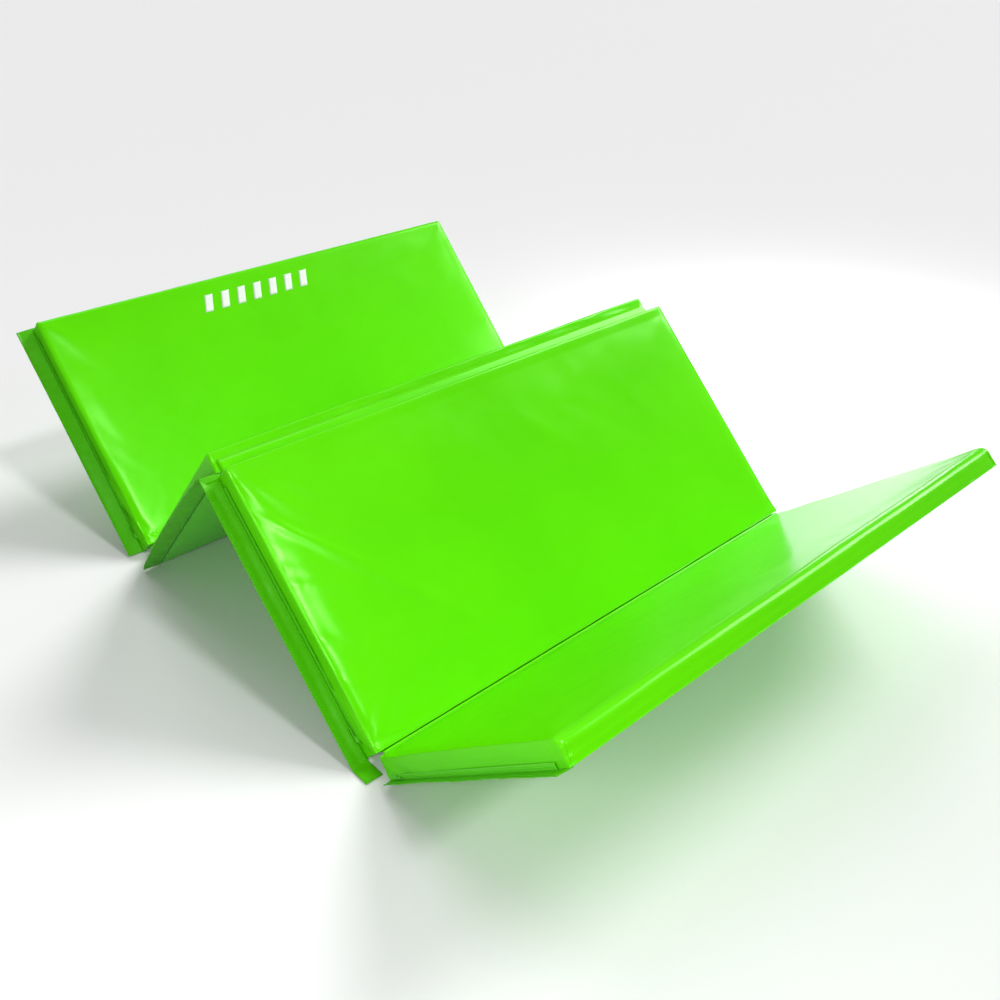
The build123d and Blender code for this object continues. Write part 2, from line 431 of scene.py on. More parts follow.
def edge_puckers(x, u, panel, seed):
    """Short creases that run in from the two sides and the free ends, as heights."""
    rng = np.random.default_rng(seed)
    hw, hd = panel.half_width, panel.half_depth
    total = np.zeros_like(x)
    for side in (-1, 1):
        count = 9 if side < 0 else 7
        for n in range(count):
            at = -hd + 2 * hd * (n + rng.uniform(0.2, 0.8)) / count
            length = rng.uniform(20, 65) * MM
            start = (side * hw, at)
            end = (side * (hw - length), at - rng.uniform(-10, 55) * MM)
            total += crease(x, u, start, end, rng.uniform(5, 9) * MM, rng.uniform(0.3, 0.9) * MM, 1.3)
    for n in range(8):
        at = -hw + 2 * hw * (n + rng.uniform(0.2, 0.8)) / 8
        end_side = -TOP_HINGED_END[panel.number]
        start = (at, end_side * hd)
        end = (at + rng.uniform(-40, 40) * MM, end_side * (hd - rng.uniform(25, 80) * MM))
        total += crease(x, u, start, end, rng.uniform(6, 12) * MM, rng.uniform(0.1, 0.3) * MM, 1.3)
    return total


def corner_tension(x, u, panel, seed):
    """Long soft ridges that fan out from the four corners, as heights."""
    rng = np.random.default_rng(seed)
    hw, hd = panel.half_width, panel.half_depth
    total = np.zeros_like(x)
    for sx in (-1, 1):
        for su in (-1, 1):
            for _ in range(3):
                angle = radians(rng.uniform(14, 62))
                length = rng.uniform(160, 420) * MM
                start = (sx * (hw - 6 * MM), su * (hd - 6 * MM))
                end = (start[0] - sx * length * cos(angle), start[1] - su * length * sin(angle))
                calm = 0.3 if panel.number == MAIN and sx > 0 else 1.0
                height = calm * rng.uniform(0.25, 0.7) * MM * rng.choice([-1, 1])
                total += crease(x, u, start, end, rng.uniform(10, 20) * MM, height, 1.0)
    return total


def main_face_folds(x, u, panel):
    """The front leaning panel's own strong creases: a fan from its raised left corner, and soft diagonals."""
    hw, hd = panel.half_width, panel.half_depth
    left, top = -hw, hd
    folds = [
        ((left + 0.006, top - 0.006), (left + 0.07, top - 0.22), 10, 1.5),
        ((left - 0.01, top - 0.08), (left + 0.36, top - 0.53), 12, 2.2),
        ((left + 0.04, top - 0.14), (left + 0.42, top - 0.60), 11, 1.7),
        ((left + 0.02, top - 0.02), (left + 0.42, top - 0.42), 17, -1.0),
        ((left, top - 0.21), (left + 0.07, top - 0.26), 4, 1.0),
        ((left, top - 0.25), (left + 0.13, top - 0.32), 5, 1.1),
        ((left, top - 0.36), (left + 0.06, top - 0.41), 4, 0.9),
        ((left, top - 0.45), (left + 0.08, top - 0.50), 5, 0.9),
        ((left, -hd + 0.03), (left + 0.05, -hd + 0.10), 6, -1.2),
        ((0.02, hd - 0.10), (0.33, -0.16), 32, 0.8),
        ((0.16, hd - 0.12), (0.42, -0.05), 26, -0.6),
        ((0.34, hd - 0.12), (0.55, -0.20), 30, 0.5),
        ((-0.12, -hd + 0.03), (0.12, 0.16), 34, 0.5),
    ]
    total = np.zeros_like(x)
    for start, end, width, height in folds:
        total += crease(x, u, start, end, width * MM, height * MM, 0.9)
    return total


def left_wall_folds(u, w, panel):
    """Long creases in the front leaning panel's left wall, which draw together towards its raised end."""
    hd, t = panel.half_depth, panel.thickness
    total = np.zeros_like(u)
    upper = ((0.30, 0.26, 0.50, 3.0), (0.48, 0.52, 0.36, 3.6), (0.66, 0.72, 0.46, 2.8))
    for rise, fall, run, depth in upper:
        total += crease(u, w, (hd - 0.004, -rise * t), (hd - run, -fall * t), 3.4 * MM, depth * MM, 0.8)
    total += crease(u, w, (-hd + 0.01, -0.55 * t), (-hd + 0.30, -0.42 * t), 3.8 * MM, 2.0 * MM, 0.8)
    return total


def corner_pleats(x, u, w, normals, panel):
    """Tucks beside the free end's two upright corners, where the cover's corners are folded and sewn."""
    if panel.number in BASE_HINGED_END:
        return np.zeros_like(x)
    end = -TOP_HINGED_END[panel.number]
    hd, t = panel.half_depth, panel.thickness
    on_side = abs(normals[:, 0]) > 0.6
    on_end = (abs(normals[:, 0]) < 0.5) & (hd - end * u < END_RADIUS[panel.number])
    line = hd - end * u - (15 * MM + 0.22 * (w + t))
    tuck = 1.4 * MM * np.exp(-((line / (1.8 * MM)) ** 2))
    line = panel.half_width - abs(x) - (9 * MM + 0.16 * (w + t))
    fold = 2.8 * MM * np.exp(-((line / (2.0 * MM)) ** 2))
    fold = fold + 0.9 * MM * np.exp(-(((line - 7 * MM) / (5 * MM)) ** 2))
    return tuck * on_side + fold * on_end


def edge_roll(x, u, panel):
    """How far the landing face sinks towards its two sides, its open end and its valley fold."""
    hw, hd = panel.half_width, panel.half_depth
    valley_end = TOP_HINGED_END[panel.number]
    reach = (18 + 10 * np.clip(u / hd, 0, 1)) * MM if panel.number == MAIN else 17 * MM
    sides = 0.085 * reach * np.clip(1 - (hw - abs(x) - 6 * MM) / reach, 0, 1.2) ** 2
    drop = 0.4 * MM if panel.number in BASE_HINGED_END else 1.6 * MM
    open_end = drop * np.clip(1 - (hd + valley_end * u) / (24 * MM), 0, 1) ** 2
    valley = 1.3 * MM * np.clip(1 - (hd - valley_end * u) / (9 * MM), 0, 1) ** 2
    return np.maximum(sides, open_end) + valley


def face_depth(x, u, panel, seed):
    """How far the landing face lies below its plain form: broad waves, creases and the rolled edges."""
    depth = 1.2 * MM + 0.7 * MM * waves(x, u, 0.33, 7, seed + 1) + 0.2 * MM * waves(x, u, 0.10, 9, seed + 2)
    puckers = edge_puckers(x, u, panel, seed + 3) + corner_tension(x, u, panel, seed + 4)
    depth -= CREASING[panel.number] * puckers
    if panel.number == MAIN:
        depth -= main_face_folds(x, u, panel)
        depth += MAIN_SLACK * np.clip((panel.half_depth - abs(u)) / SLACK_RUN, 0, 1)
    return depth + edge_roll(x, u, panel)


def wall_depth(x, u, w, normals, panel, seed):
    """How far the walls lie inside their plain form: hardly at all beside the zip, and unevenly above it."""
    run = np.where(abs(normals[:, 0]) > abs(normals[:, 1]), u, x)
    high = (w + panel.thickness) / panel.thickness
    above_zip = np.clip((high - 0.26) * 5, 0, 1)
    rough = 0.35 if panel.number == 4 else 0.6
    depth = 0.5 * MM * (high > 0.3)
    depth += rough * MM * (1 + waves(run, w * 3, 0.07, 9, seed + 5)) * above_zip
    depth += 0.3 * MM * (1 + waves(run * 0.12, w, 0.022, 6, seed + 6)) * above_zip
    if panel.number == MAIN:
        depth += left_wall_folds(u, w, panel) * (normals[:, 0] < -0.5)
    return depth + corner_pleats(x, u, w, normals, panel)


def cover_depth(points, normals, panel):
    """How far each point of the cover lies inside its plain form: never negative."""
    x, u, w = points.T
    seed = 100 * panel.number
    up = np.clip(normals[:, 2], 0, 1)
    side = 1 - abs(normals[:, 2])
    face = np.maximum(face_depth(x, u, panel, seed), 0)
    wall = np.maximum(wall_depth(x, u, w, normals, panel, seed), 0)
    return face * up ** 2 + wall * side ** 2


def make_cover(panel, material):
    """Soft vinyl cover of one panel."""
    points, quads = cover_form(panel)
    points = rounded(points, panel, COVER_INSET)
    points = simulated(points, quads, panel)
    points, quads = subdivided(points, quads)
    normals = vertex_normals(points, quads)
    points = points - normals * cover_depth(points, normals, panel)[:, None]
    low = np.array([-panel.half_width, -panel.half_depth, -panel.thickness]) + BOX_CLEARANCE
    high = np.array([panel.half_width, panel.half_depth, 0]) - BOX_CLEARANCE
    points = np.clip(points, low, high)
    cover = new_mesh(f"cover_{panel.number}", panel.world(points), quads, material)
    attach(cover, panel.body)
    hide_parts(f"panel_{panel.number}_cover_top", f"panel_{panel.number}_cover_base")
    return cover


def make_foam(panel, material):
    """Foam slab inside the cover, with the cover's rounded edges."""
    hw, hd = panel.half_width - FOAM_INSET, panel.half_depth - FOAM_INSET
    near = np.array([0, 5, 11, 18, 26]) * MM
    xs, us = graded(-hw, hw, 50 * MM, near), graded(-hd, hd, 50 * MM, near)
    ws = graded(-panel.thickness + FOAM_INSET, -FOAM_INSET, 12 * MM, np.array([0, 4, 9, 15]) * MM)
    points, quads = box_grid(xs, us, ws)
    points = rounded(points, panel, FOAM_INSET)
    points += 0.5 * MM * np.stack([waves(points[:, 1], points[:, 2], 0.2, 4, 7 + n) for n in range(3)], 1)
    foam = new_mesh(f"foam_{panel.number}", panel.world(points), quads, material)
    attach(foam, panel.body)
    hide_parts(f"panel_{panel.number}_foam_core")
    return foam


# ---------------------------------------------------------------- flap

def tail_bend(u, w, start, slope):
    """Takes points past the start of the tail round a soft bend, until they lie level on the floor."""
    past = np.maximum(start - u, 0)
    angle = np.minimum(past / FLAP_TAIL_BEND, slope)
    straight = np.maximum(past - FLAP_TAIL_BEND * slope, 0)
    bent_u = start - FLAP_TAIL_BEND * np.sin(angle) - straight * cos(slope)
    bent_w = FLAP_TAIL_BEND * (1 - np.cos(angle)) + straight * sin(slope)
    return np.where(past > 0, bent_u, u), w + bent_w


def flap_points(panel, across, along):
    """Points on the flap's mid-surface: across from 0 at the wall to 1, along from -1 to 1.

    Below 0 the sheet runs on flat under the cover.
    """
    n = panel.number
    hd = panel.half_depth
    x = -panel.half_width - panel.flap_width * across
    across = np.maximum(across, 0)
    tail = FLAP_TAIL[n]
    front = 0 if tail or BASE_HINGED_END.get(n) == -1 else FLAP_MITRE[n]
    rear = 0 if BASE_HINGED_END.get(n) == 1 else FLAP_MITRE[n]
    low, high = -hd + front * across - tail, hd - FLAP_SETBACK[n] - rear * across
    u = low + (high - low) * (along + 1) / 2
    if tail:
        under = np.clip((u + hd) / FLAP_TUCK, 0.03, 1)
        x = np.where(x > -panel.half_width, -panel.half_width + (x + panel.half_width) * under, x)
    wave = FLAP_WAVE[n]
    lift = across ** 1.5 * (1.3 + 1.3 * waves(u, across * 0.03, 0.21, 5, 900 + n))
    lift += wave * across * (1 + waves(u, across * 0.02, 0.05, 6, 930 + n))
    lift += wave * 0.35 * np.sin(pi * across) * (1 + waves(u, across * 0.01, 0.016, 8, 960 + n))
    if n == MAIN:
        lift += 0.9 * across * np.sin(across * 9 + 1.5 * waves(u, across * 0, 0.30, 3, 990))
    if n == 2:
        lift += 9 * across ** 1.5 * np.cos(along * pi / 2) ** 0.7
    ends = np.clip((1 - abs(along)) * 22, 0, 1)
    w = -panel.thickness + 0.15 * MM + np.maximum(lift, 0) * MM * (0.25 + 0.75 * ends)
    if tail:
        slope = float(np.arctan2(panel.along[2], panel.along[1]))
        u, w = tail_bend(u, w, -hd + 2 * MM, slope)
    return np.stack([x, u, w], -1)


def flap_grid(panel):
    """The flap's mid-surface on a grid, as (across, points), one row along it at each step across."""
    hem = 1 - HEM_WIDTH / panel.flap_width
    tucked = -FLAP_TUCK / panel.flap_width
    rolled = [hem + 0.35 * (1 - hem), hem + 0.75 * (1 - hem), 1.0]
    across = np.concatenate([[tucked], np.linspace(0, hem, 9), rolled])
    along = np.concatenate([np.linspace(-1, -0.8, 30)[:-1], np.linspace(-0.8, 1, 220)])
    a, b = np.meshgrid(across, along, indexing="ij")
    return a, flap_points(panel, a.ravel(), b.ravel())


def flap_normals(middle, shape):
    """Normals of the flap's mid-surface, which face the landing side."""
    grid = middle.reshape(*shape, 3)
    normals = np.cross(np.gradient(grid, axis=1), np.gradient(grid, axis=0))
    normals /= np.linalg.norm(normals, axis=2, keepdims=True)
    return normals.reshape(-1, 3) * np.sign(normals.reshape(-1, 3)[:, 2:3] + 1e-9)


def make_flap(panel, material):
    """Doubled vinyl strip along the left side of the base sheet, with a rolled hem."""
    a, middle = flap_grid(panel)
    normals = flap_normals(middle, a.shape)
    from_edge = (1 - a.ravel()) * panel.flap_width
    hem = np.clip((HEM_WIDTH - from_edge) / HEM_WIDTH, 0, 1)
    swell = (HEM_THICKNESS - panel.flap_thickness) * np.sin(pi * hem) ** 0.5 * (hem > 0)
    thickness = np.where(hem > 0.99, 0.5 * MM, panel.flap_thickness + swell)
    upper = middle + normals * thickness[:, None]
    lower = middle + normals * np.where(hem > 0.99, 0.4 * MM, 0)[:, None]
    points = panel.world(np.vstack([upper, lower]))
    flap = new_mesh(f"flap_{panel.number}", points, sheet_faces(*a.shape), material)
    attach(flap, panel.body)
    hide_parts(f"panel_{panel.number}_side_flap")
    return flap


def make_flap_bridge(material):
    """Vinyl band over the peak, which joins the two flaps that meet there in a small arch."""
    a, b = panels[3], panels[2]
    climb = ((BRIDGE_REACH, 0), (BRIDGE_REACH * 0.6, 0.15), (BRIDGE_REACH * 0.3, 0.5), (1.0 * MM, 0.9))
    rows = []
    for across in np.linspace(0.04, 0.97, 12):
        x = -a.half_width - a.flap_width * across
        swell = 0.5 * MM * sin(pi * across) + 0.9 * MM * across
        down = [a.world([[x, a.half_depth - d, -a.thickness + BRIDGE_LIFT + swell * k]])[0] for d, k in climb]
        up = [b.world([[x, -b.half_depth + d, -b.thickness + BRIDGE_LIFT + swell * k]])[0]
              for d, k in climb[::-1]]
        crown = (down[-1] + up[0]) / 2 + np.array([0, 0, 1.0]) * (0.6 * MM + swell * 0.3)
        rows.append(np.array(down + [crown] + up))
    rows = np.array(rows)
    points, faces = thickened(rows, BRIDGE_THICKNESS)
    bridge = new_mesh("flap_bridge", points, faces, material)
    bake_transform(bridge)
    return bridge


def thickened(rows, thickness):
    """A closed sheet from a grid of points with shape (rows, columns, 3), as (points, faces)."""
    normals = np.cross(np.gradient(rows, axis=0), np.gradient(rows, axis=1))
    normals /= np.maximum(np.linalg.norm(normals, axis=2, keepdims=True), 1e-12)
    half = normals * thickness / 2
    points = np.vstack([(rows + half).reshape(-1, 3), (rows - half).reshape(-1, 3)])
    return points, sheet_faces(*rows.shape[:2])


# ---------------------------------------------------------------- fold strips

def make_fold_strip(name, first, second, at_top, material):
    """Vinyl strip across a fold: down one end wall, over the axis and down the other."""
    axis = np.array(JOINTS[name]["pos_m"])
    a, b = panels[first], panels[second]
    face = 0.0 if at_top else -1.0
    inwards = -1 if at_top else 1
    ends = TOP_HINGED_END if at_top else BASE_HINGED_END
    end_a, end_b = ends[first], ends[second]

    def wall_point(panel, end, depth, off):
        u = end * (panel.half_depth + off)
        w = face * panel.thickness + inwards * depth
        return panel.world([[0, u, w]])[0]

    off, fin = STRIP_STANDOFF, STRIP_FIN
    leg = ((fin, -2.4 * MM), (fin * 0.6, -0.8 * MM), (fin * 0.25, 0.3 * MM), (2.5 * MM, off), (off, off))
    lip_a, lip_b = wall_point(a, end_a, off, off), wall_point(b, end_b, off, off)
    path = [wall_point(a, end_a, d, out) for d, out in leg]
    path += [axis * 0.5 + (lip_a + lip_b) / 4]
    path += [wall_point(b, end_b, d, out) for d, out in leg[::-1]]
    path = np.array(path)[:, 1:]
    tangents = np.gradient(path, axis=0)
    tangents /= np.linalg.norm(tangents, axis=1, keepdims=True)
    side = np.stack([-tangents[:, 1], tangents[:, 0]], 1) * STRIP_THICKNESS / 2
    half = a.half_width - STRIP_SETBACK
    xs = np.linspace(axis[0] - half, axis[0] + half, STRIP_STATIONS)
    k = len(path)
    points, faces = [], []
    for x in xs:
        ripple = 0.15 * MM * waves(np.arange(k) * 0.01, np.full(k, x), 0.08, 4, 50)
        for sign in (1, -1):
            for n in range(k):
                points.append((x, path[n, 0] + sign * side[n, 0], path[n, 1] + sign * side[n, 1] + ripple[n]))
    ring = list(range(k)) + list(range(2 * k - 1, k - 1, -1))
    for i in range(len(xs) - 1):
        low, high = i * 2 * k, (i + 1) * 2 * k
        for p, q in zip(ring, ring[1:] + ring[:1]):
            faces.append((low + p, low + q, high + q, high + p))
    last = (len(xs) - 1) * 2 * k
    for n in range(k - 1):
        faces.append((n, n + 1, k + n + 1, k + n))
        faces.append((last + n, last + k + n, last + k + n + 1, last + n + 1))
    strip = new_mesh(f"{name}_strip", points, faces, material)
    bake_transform(strip)
    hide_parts(f"{name}_leaf_{first}", f"{name}_leaf_{second}")
    return strip


# ---------------------------------------------------------------- sewing, zip and print

def capsules(centres, directions, normals, length, radius, flat=0.6):
    """Small rounded rods, one at each centre, as (points, faces)."""
    sides = 6
    angles = np.arange(sides) * 2 * pi / sides
    across = np.cross(directions, normals)
    points, faces = [], []
    stations = ((-0.5, 0.0), (-0.36, 1.0), (0.36, 1.0), (0.5, 0.0))
    for c, d, n, a in zip(centres, directions, normals, across):
        base = len(points)
        for along, swell in stations:
            if swell == 0:
                points.append(c + d * length * along - n * radius * flat * 0.8)
                continue
            points.extend(c + d * length * along + radius * (a * cos(t) + n * flat * sin(t)) for t in angles)
        for k in range(sides):
            m = (k + 1) % sides
            low, high = base + 1, base + 1 + sides
            faces.append((base, low + m, low + k))
            faces.append((low + k, low + m, high + m, high + k))
            faces.append((high + k, high + m, base + 1 + 2 * sides))
    return np.array(points), faces


def joined(parts):
    """Several (points, faces) pairs as one."""
    points, faces, base = [], [], 0
    for part_points, part_faces in parts:
        points.append(part_points)
        faces.extend(tuple(i + base for i in f) for f in part_faces)
        base += len(part_points)
    return np.vstack(points), faces


def surface_tree(obj, panel):
    """A search tree of a piece's faces in the panel's own frame."""
    local = panel.local(vertex_places(obj.data))
    return BVHTree.FromPolygons([tuple(p) for p in local], [tuple(f.vertices) for f in obj.data.polygons])


def landed(tree, x, u):
    """Where a line straight down onto the landing face meets the cover, and the cover's normal there."""
    place, normal, _, _ = tree.ray_cast(Vector((x, u, 0.05)), Vector((0, 0, -1)))
    return np.array(place), np.array(normal)


def stitches_along(line, normals, pitch):
    """Stitches laid end to end along a line of points, as (points, faces)."""
    steps = np.linalg.norm(np.diff(line, axis=0), axis=1)
    run = np.concatenate([[0], np.cumsum(steps)])
    at = np.arange(pitch / 2, run[-1], pitch)
    centres = np.stack([np.interp(at, run, line[:, k]) for k in range(3)], 1)
    ahead = np.stack([np.interp(at + pitch / 4, run, line[:, k]) for k in range(3)], 1)
    behind = np.stack([np.interp(at - pitch / 4, run, line[:, k]) for k in range(3)], 1)
    directions = (ahead - behind) / np.linalg.norm(ahead - behind, axis=1, keepdims=True)
    facing = np.stack([np.interp(at, run, normals[:, k]) for k in range(3)], 1)
    facing -= directions * np.sum(facing * directions, axis=1, keepdims=True)
    facing /= np.linalg.norm(facing, axis=1, keepdims=True)
    return capsules(centres + facing * 0.15 * MM, directions, facing, STITCH_LENGTH, STITCH_RADIUS)


def make_stitches(panel, tree, material):
    """Thread of one panel: two rows on the flap, and one along the landing face beside its fold."""
    parts = []
    b = np.linspace(-0.985, 0.985, 240)
    for across in (0.10, 1 - 5 * MM / panel.flap_width):
        middle = flap_points(panel, np.repeat([across, across + 0.02], len(b)), np.tile(b, 2))
        normals = flap_normals(middle, (2, len(b)))[:len(b)]
        line = middle[:len(b)] + normals * (panel.flap_thickness + 0.1 * MM)
        parts.append(stitches_along(line, normals, STITCH_PITCH))
    end = TOP_HINGED_END[panel.number]
    spots = [landed(tree, x, end * (panel.half_depth - SEAM_SETBACK))
             for x in np.linspace(-panel.half_width + 22 * MM, panel.half_width - 22 * MM, 260)]
    line, normals = np.array([p for p, _ in spots]), np.array([n for _, n in spots])
    parts.append(stitches_along(line, normals, STITCH_PITCH))
    points, faces = joined(parts)
    thread = new_mesh(f"stitches_{panel.number}", panel.world(points), faces, material)
    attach(thread, panel.body)
    return thread


def make_zip(panel, material):
    """Zip in the left wall: a woven tape, and a row of small teeth along its middle."""
    plain = panel.local(node_points(f"panel_{panel.number}_zip_tape"))
    low, high = plain.min(axis=0), plain.max(axis=0)
    tape_x = -panel.half_width
    middle = plain[plain[:, 0] < tape_x - 1 * MM, 2].mean()
    us = np.linspace(low[1], high[1], 150)
    ws = np.linspace(low[2], high[2], 7)
    grid = np.array([[(tape_x + 0.25 * MM - 0.18 * MM * (1 + sin(u * 310)), u, w) for w in ws] for u in us])
    tape = thickened(grid, TAPE_THICKNESS)
    count = int((high[1] - low[1] - 2 * TEETH_MARGIN) / TOOTH_PITCH)
    first = low[1] + TEETH_MARGIN
    centres = np.array([(tape_x - 0.55 * MM, first + (k + 0.5) * TOOTH_PITCH, middle) for k in range(count)])
    lean = np.array([(0, 0.22 * (-1) ** k, 1.0) for k in range(count)])
    lean /= np.linalg.norm(lean, axis=1, keepdims=True)
    facing = np.tile([-1.0, 0, 0], (count, 1))
    teeth = capsules(centres, lean, facing, TOOTH_LENGTH, TOOTH_RADIUS, flat=0.9)
    points, faces = joined([tape, teeth])
    zipper = new_mesh(f"zip_{panel.number}", panel.world(points), faces, material)
    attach(zipper, panel.body)
    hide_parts(f"panel_{panel.number}_zip_tape")
    return zipper


def soft_form(low, high, radius, step):
    """A small closed block with rounded edges, as (points, quads)."""
    low, high = np.array(low), np.array(high)
    near = np.array([0, 0.35, 0.8, 1.3]) * radius
    lines = [graded(a, b, step, near) for a, b in zip(low, high)]
    points, quads = box_grid(*lines)
    inner = np.clip(points, low + radius, high - radius)
    out = points - inner
    reach = np.linalg.norm(out, axis=1, keepdims=True)
    return np.where(reach > 1e-9, inner + out * radius / np.maximum(reach, 1e-9), points), quads


def make_slider(panel, material):
    """Zip slider: a waisted body on the teeth, a bridge, and a pull tab with a ribbed grip."""
    plain = panel.local(node_points(f"panel_{panel.number}_zip_slider"))
    low, high = plain.min(axis=0), plain.max(axis=0)
    forwards = TOP_HINGED_END[panel.number] < 0
    sign = 1 if forwards else -1
    start = low[1] if forwards else high[1]
    middle_w = (low[2] + high[2]) / 2
    tall = (high[2] - low[2]) / 2
    outer, reach = low[0], high[1] - low[1]
    body, body_quads = soft_form((outer + 1.6 * MM, 0, -tall),
                                 (-panel.half_width - 0.2 * MM, SLIDER_BODY, tall), 0.9 * MM, 1.2 * MM)
    waist = 1 - 0.26 * np.sin(np.clip(body[:, 1] / SLIDER_BODY, 0, 1) * pi * 0.9 + 0.2) ** 2
    body[:, 2] *= waist
    bridge = soft_form((outer, 3 * MM, -1.1 * MM), (outer + 2.2 * MM, 11 * MM, 1.1 * MM), 0.8 * MM, 1 * MM)
    pull, pull_quads = soft_form((outer + 0.2 * MM, PULL_START, -PULL_HALF_WIDTH),
                                 (outer + 1.5 * MM, reach, PULL_HALF_WIDTH), 0.6 * MM, 1 * MM)
    along = np.clip((pull[:, 1] - PULL_START) / (reach - PULL_START), 0, 1)
    pull[:, 2] *= 0.62 + 0.38 * along ** 0.7
    grip = (along > 0.45) & (along < 0.93)
    pull[:, 0] -= 0.12 * MM * np.sin(pull[:, 1] * 2 * pi / GRIP_PITCH) * grip
    points, faces = joined([(body, body_quads), bridge, (pull, pull_quads)])
    points = np.stack([points[:, 0], start + sign * points[:, 1], middle_w + points[:, 2]], 1)
    slider = new_mesh(f"slider_{panel.number}_metal", panel.world(points), faces, material)
    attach(slider, f"slider_{panel.number}")
    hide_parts(f"panel_{panel.number}_zip_slider")
    return slider


def make_print(panel, tree, material):
    """Plain printed bars on the rear panel's landing face: a thin film that follows the cover."""
    parts = []
    for n in range(PRINT_BARS):
        rows = []
        for a in np.linspace(0, 1, 9):
            row = []
            for b in np.linspace(0, 1, 5):
                u = PRINT_PLACE[1] + PRINT_HEIGHT * (a - 0.5)
                x = PRINT_PLACE[0] + PRINT_PITCH * (n - (PRINT_BARS - 1) / 2) + PRINT_BAR * (b - 0.5)
                x += PRINT_SLANT * (a - 0.5)
                place, normal = landed(tree, x, u)
                row.append(place + normal * PRINT_RISE)
            rows.append(row)
        parts.append(thickened(np.array(rows), PRINT_FILM))
    points, faces = joined(parts)
    film = new_mesh("print_bars", panel.world(points), faces, material)
    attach(film, panel.body)
    return film


# ---------------------------------------------------------------- materials

def blank(name):
    """A new material, as (material, node tree, shader)."""
    material = bpy.data.materials.new(name)
    material.use_nodes = True
    return material, material.node_tree, material.node_tree.nodes["Principled BSDF"]


def node(tree, kind, **settings):
    """A new node with those inputs set; an underscore in an input's name stands for a space."""
    made = tree.nodes.new("ShaderNode" + kind)
    for name, value in settings.items():
        made.inputs[name.replace("_", " ")].default_value = value
    return made


def colour_ramp(tree, low, high, span=(0, 1)):
    """A ramp from one colour to another over that span."""
    ramp = node(tree, "ValToRGB")
    for stop, place, colour in zip(ramp.color_ramp.elements, span, (low, high)):
        stop.position, stop.color = place, (*colour, 1)
    return ramp


def chain(tree, *steps):
    """Links given in a row: node, output, input, node, output, input, ..., node."""
    for n in range(0, len(steps) - 3, 3):
        source, output, into, target = steps[n:n + 4]
        tree.links.new(source.outputs[output], target.inputs[into])


def vinyl(name, colour, dark, roughness):
    """PVC-coated cloth: semi-gloss, with a fine grain, faint weave relief and slight colour drift.

    The two side walls, which face along x at every pose, are more matt than the faces.
    """
    material, tree, shader = blank(name)
    place = node(tree, "TexCoord")
    drift = node(tree, "TexNoise", Scale=3.2, Detail=4)
    ramp = colour_ramp(tree, dark, colour, (0.3, 0.7))
    chain(tree, place, "Object", "Vector", drift, "Fac", "Fac", ramp, "Color", "Base Color", shader)
    scuff = node(tree, "TexNoise", Scale=38, Detail=6, Roughness=0.6)
    gloss = node(tree, "MapRange", To_Min=roughness - 0.05, To_Max=roughness + 0.07)
    total = node(tree, "Math")
    chain(tree, place, "Object", "Vector", scuff, "Fac", "Value", gloss, "Result", 0, total)
    facing, parts, sideways = node(tree, "NewGeometry"), node(tree, "SeparateXYZ"), node(tree, "Math")
    sideways.operation = "ABSOLUTE"
    matt = node(tree, "MapRange", From_Min=0.4, From_Max=0.95, To_Max=WALL_MATTING)
    chain(tree, facing, "Normal", "Vector", parts, "X", 0, sideways, "Value", "Value", matt)
    chain(tree, matt, "Result", 1, total, "Value", "Roughness", shader)
    grain = node(tree, "TexVoronoi", Scale=620)
    weave = node(tree, "TexNoise", Scale=22, Detail=2)
    fine = node(tree, "Bump", Strength=0.1, Distance=0.0003)
    broad = node(tree, "Bump", Strength=0.12, Distance=0.0008)
    chain(tree, place, "Object", "Vector", grain, "Distance", "Height", fine, "Normal", "Normal", shader)
    chain(tree, place, "Object", "Vector", weave, "Fac", "Height", broad, "Normal", "Normal", fine)
    shader.inputs["Specular IOR Level"].default_value = 0.42
    shader.inputs["Specular Tint"].default_value = SHEEN_TINT
    return material


def woven(name, colour, scale, roughness=0.85):
    """Woven tape, thread or foam: matt, with a fine cellular relief."""
    material, tree, shader = blank(name)
    place = node(tree, "TexCoord")
    cells = node(tree, "TexVoronoi", Scale=scale)
    ramp = colour_ramp(tree, [c * 0.85 for c in colour], colour)
    bump = node(tree, "Bump", Strength=0.5, Distance=0.0004)
    chain(tree, place, "Object", "Vector", cells, "Distance", "Fac", ramp, "Color", "Base Color", shader)
    chain(tree, cells, "Distance", "Height", bump, "Normal", "Normal", shader)
    shader.inputs["Roughness"].default_value = roughness
    return material


def painted(name, colour):
    """Enamelled metal, worn to bare metal along its edges."""
    material, tree, shader = blank(name)
    geometry, place = node(tree, "NewGeometry"), node(tree, "TexCoord")
    chips = node(tree, "TexNoise", Scale=900)
    wear = node(tree, "MapRange", From_Min=0.53, From_Max=0.60)
    edge = node(tree, "Math")
    edge.operation = "MULTIPLY"
    mix = node(tree, "Mix")
    mix.data_type = "RGBA"
    mix.inputs[6].default_value = (*colour, 1)
    mix.inputs[7].default_value = (*BARE_METAL, 1)
    chain(tree, geometry, "Pointiness", "Value", wear, "Result", 0, edge, "Value", 0, mix)
    chain(tree, mix, 2, "Base Color", shader)
    chain(tree, place, "Object", "Vector", chips, "Fac", 1, edge, "Value", "Metallic", shader)
    shader.inputs["Roughness"].default_value = 0.3
    return material


def printed(name):
    """White screen-printed ink with a faint mottle."""
    material, tree, shader = blank(name)
    place, mottle = node(tree, "TexCoord"), node(tree, "TexNoise", Scale=160)
    ramp = colour_ramp(tree, INK_DARK, INK_LIGHT)
    chain(tree, place, "Object", "Vector", mottle, "Fac", "Fac", ramp, "Color", "Base Color", shader)
    shader.inputs["Roughness"].default_value = 0.45
    return material


